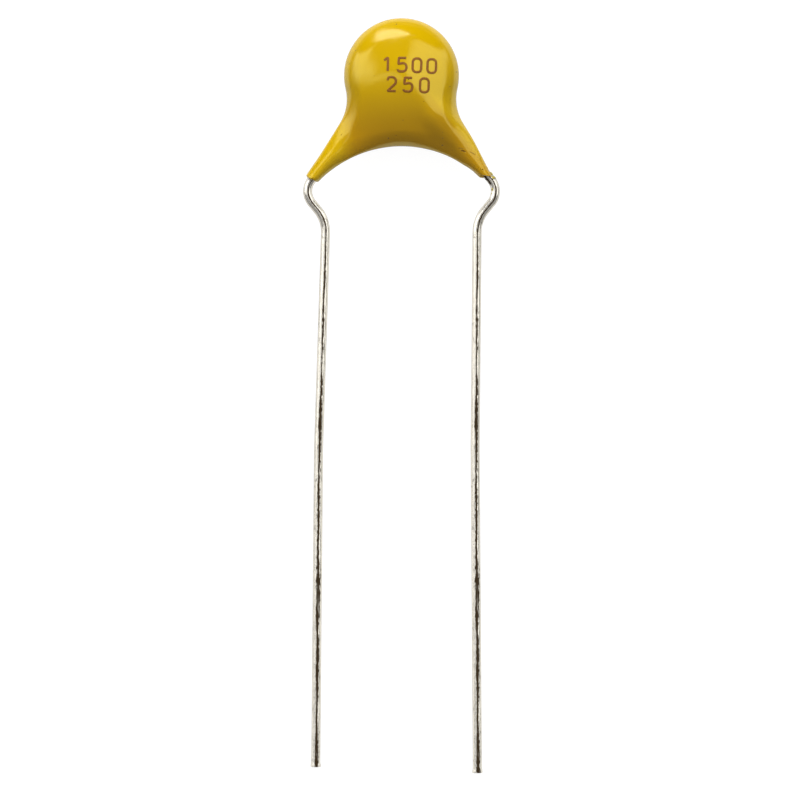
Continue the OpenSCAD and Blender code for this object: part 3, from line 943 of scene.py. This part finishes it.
def makeCrumbTree():
    tree, given, result = newTree("crumbs on a wire", "GeometryNodeTree", {
        "Geometry": "Geometry", "Carrier": "Object", "Middle": "Vector", "Reach": "Float",
        "Density": "Float", "Size": "Float", "Seed": "Int", "Material": "Material",
    }, {"Geometry": "Geometry"})
    carrier = addNode(tree, "GeometryNodeObjectInfo", {"Object": given["Carrier"]}).outputs["Geometry"]
    place = tree.nodes.new("GeometryNodeInputPosition").outputs[0]
    near = calc(tree, "LESS_THAN", vectorCalc(tree, "DISTANCE", place, given["Middle"]), given["Reach"])
    points = addNode(tree, "GeometryNodeDistributePointsOnFaces", {
        "Mesh": carrier, "Selection": near, "Density": given["Density"], "Seed": given["Seed"]})
    crumb = addNode(tree, "GeometryNodeMeshIcoSphere",
        {"Radius": given["Size"], "Subdivisions": crumbs["fineness"]}).outputs[0]
    scale = addNode(tree, "FunctionNodeRandomValue",
        {0: crumbs["smallest"], 1: crumbs["largest"]}, data_type="FLOAT_VECTOR")
    plug(tree, scale.inputs["Seed"], given["Seed"])
    spread = addNode(tree, "GeometryNodeInstanceOnPoints", {
        "Points": points.outputs["Points"], "Instance": crumb, "Rotation": points.outputs["Rotation"],
        "Scale": scale.outputs[0]}).outputs[0]
    finishTree(tree, spread, given["Material"], result)
    return tree


def makeCrumbs():
    tree = makeCrumbTree()
    pieces = []
    for name, patch in crumbs["patches"].items():
        pieces.append(bakeNodes(guideMesh(name, []), tree, {
            "Carrier": wires["right_wire"], "Middle": atRest(patch["middle"]),
            "Reach": patch["reach"] * mm, "Density": patch["density"] / mm ** 2,
            "Size": patch["size"] * mm, "Seed": patch["seed"], "Material": finishes["epoxy crumbs"]}))
    return pieces


crumbPieces = makeCrumbs()
print("crumbs made:", [len(piece.data.polygons) for piece in crumbPieces])


# Finishes of the row's own solids, which the pieces above hide or replace

nodeFinish = {
    "ceramic_disc": finishes["ceramic"],
    "front_electrode": finishes["fired silver"],
    "back_electrode": finishes["fired silver"],
    "front_solder": finishes["solder"],
    "back_solder": finishes["solder"],
    "right_lead": rightTin,
    "left_lead": leftTin,
    "epoxy_coating": mustardEpoxy,
}
for nodeName, finish in nodeFinish.items():
    solid = frame["nodes"][nodeName]
    solid.data.materials.clear()
    solid.data.materials.append(finish)
print("solids finished:", len(nodeFinish))


# Floor, light and camera

studio = {
    "floorSize": 3.0,
    "floorColour": 0.12,
    "floorMottle": 0.02,
    "floorGrain": 60.0,
    "floorRoughness": 0.9,
    "floorGlow": 0.95,
    "paperReach": (0.018, 0.036),  # gloss shows the floor white this far across and up
    "paperFade": 0.007,
    # the tent, by the direction into it: a grey foot that darkens towards its head, two white
    # panels and a strip with their reach across X and Y, and a round window at the head
    "foot": 0.22,
    "footFade": (-0.55, -0.1),
    "ambient": 0.13,
    "headFade": (0.1, 0.6),
    "panels": [
        {"x": (0.17, 0.93), "y": (-0.17, 0.54), "level": 1.35},
        {"x": (-0.99, -0.48), "y": (-0.03, 0.49), "level": 1.8},
        {"x": (-0.99, -0.02), "y": (-0.12, -0.03), "level": 1.25},
    ],
    "panelSoftness": 0.05,
    "window": {"middle": (-0.2, 0.765), "reach": (0.35, 0.185), "softness": 0.15, "level": 3.0,
        "colour": (0.95, 1, 1.6, 1)},
    "sunStrength": 2.1,
    "sunColour": (0.92, 1, 0.86),
    "sunDirection": (0.05, 0.82, 0.57),
    "sunAngle": 12,
    "lens": 200,
    "clipStart": 0.01,
    "viewWidth": 52.98 * mm,
    "viewMiddle": (-0.1 * mm, -0.23 * mm),
    "focusHeight": 1.2 * mm,
}


def makePaper():  # white for the camera and for gloss nearby, and dull grey for every other ray
    material, tree, shader, place = newMaterial("white paper floor")
    tones = [(studio["floorColour"] * (1 + sign * studio["floorMottle"]),) * 3 + (1,) for sign in (-1, 1)]
    plug(tree, shader["Base Color"], mixColour(tree, noiseAt(tree, place, studio["floorGrain"]), *tones))
    shader["Roughness"].default_value = studio["floorRoughness"]
    rays = tree.nodes.new("ShaderNodeLightPath").outputs
    part = xyz(tree, place)
    (across, up), fade = studio["paperReach"], studio["paperFade"]
    beside = ramp(tree, calc(tree, "ABSOLUTE", part[0]), across - fade, across, 1, 0)
    paper = calc(tree, "MULTIPLY", beside, ramp(tree, part[1], up - fade, up, 1, 0))
    gloss = calc(tree, "MAXIMUM", rays["Is Glossy Ray"], rays["Is Transmission Ray"])
    seen = calc(tree, "MAXIMUM", rays["Is Camera Ray"], calc(tree, "MULTIPLY", gloss, paper))
    shader["Emission Color"].default_value = (1, 1, 1, 1)
    plug(tree, shader["Emission Strength"], calc(tree, "MULTIPLY", seen, studio["floorGlow"]))
    return material


def makeFloor():
    size = studio["floorSize"] / 2
    height = cadBox[0][2]
    corners = [(-size, -size, height), (size, -size, height), (size, size, height), (-size, size, height)]
    mesh = bpy.data.meshes.new("floor")
    mesh.from_pydata(corners, [], [(0, 1, 2, 3)])
    mesh.materials.append(makePaper())
    floor = bpy.data.objects.new("floor", mesh)
    bpy.context.collection.objects.link(floor)


def makePanel(tree, part, panel):  # white where the direction points into the panel
    soft = studio["panelSoftness"]
    inside = 1.0
    for axis, (low, high) in ((0, panel["x"]), (1, panel["y"])):
        inside = calc(tree, "MULTIPLY", inside, ramp(tree, part[axis], low - soft, low + soft))
        inside = calc(tree, "MULTIPLY", inside, ramp(tree, part[axis], high - soft, high + soft, 1, 0))
    return calc(tree, "MULTIPLY", inside, panel["level"])


def makeWindow(tree, part):  # white where the direction points into the round window
    window = studio["window"]
    offsets = []
    for axis in (0, 1):
        offset = calc(tree, "SUBTRACT", part[axis], window["middle"][axis])
        offsets.append(calc(tree, "POWER", calc(tree, "DIVIDE", offset, window["reach"][axis]), 2.0))
    reach = calc(tree, "SQRT", calc(tree, "ADD", *offsets))
    return ramp(tree, reach, 1 - window["softness"], 1 + window["softness"], window["level"], 0)


def makeWorld():
    world = bpy.data.worlds.new("tent")
    world.use_nodes = True
    tree = world.node_tree
    tree.nodes.clear()
    part = xyz(tree, tree.nodes.new("ShaderNodeTexCoord").outputs["Generated"])
    light = ramp(tree, part[1], *studio["footFade"], studio["foot"], studio["ambient"])
    light = calc(tree, "MULTIPLY", light, ramp(tree, part[1], *studio["headFade"], 1, 0))
    for panel in studio["panels"]:
        light = calc(tree, "MAXIMUM", light, makePanel(tree, part, panel))
    opening = makeWindow(tree, part)
    light = calc(tree, "MAXIMUM", light, opening)
    camera = tree.nodes.new("ShaderNodeLightPath").outputs["Is Camera Ray"]
    strength = calc(tree, "MAXIMUM", camera, light)
    share = calc(tree, "DIVIDE", opening, studio["window"]["level"])
    cool = calc(tree, "MULTIPLY", share, calc(tree, "SUBTRACT", 1.0, camera))
    colour = mixColour(tree, cool, (1, 1, 1, 1), studio["window"]["colour"])
    background = addNode(tree, "ShaderNodeBackground", {"Color": colour, "Strength": strength})
    output = tree.nodes.new("ShaderNodeOutputWorld")
    tree.links.new(background.outputs[0], output.inputs["Surface"])
    bpy.context.scene.world = world


def makeSun():  # lights the body from its head, without a highlight of its own
    lamp = bpy.data.lights.new("sun", "SUN")
    lamp.energy = studio["sunStrength"]
    lamp.color = studio["sunColour"]
    lamp.angle = math.radians(studio["sunAngle"])
    sun = bpy.data.objects.new("sun", lamp)
    sun.rotation_euler = Vector(studio["sunDirection"]).to_track_quat("Z", "Y").to_euler()
    sun.visible_glossy = False
    bpy.context.collection.objects.link(sun)


def makeCamera():
    data = bpy.data.cameras.new("camera")
    data.lens = studio["lens"]
    data.clip_start = studio["clipStart"]
    camera = bpy.data.objects.new("camera", data)
    away = studio["viewWidth"] * data.lens / data.sensor_width
    camera.location = (*studio["viewMiddle"], studio["focusHeight"] + away)
    bpy.context.collection.objects.link(camera)
    bpy.context.scene.camera = camera


makeFloor()
makeWorld()
makeSun()
makeCamera()
bpy.context.scene.view_settings.view_transform = "Standard"
print("studio ready")


# What moves with what, and which solid each piece stands for

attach(coatingSkin, "root")
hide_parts("epoxy_coating")
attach(markingPiece, "root")
for name, lead in leads.items():
    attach(wires[name], "root")
    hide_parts(lead["node"])
for piece in crumbPieces:
    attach(piece, "root")
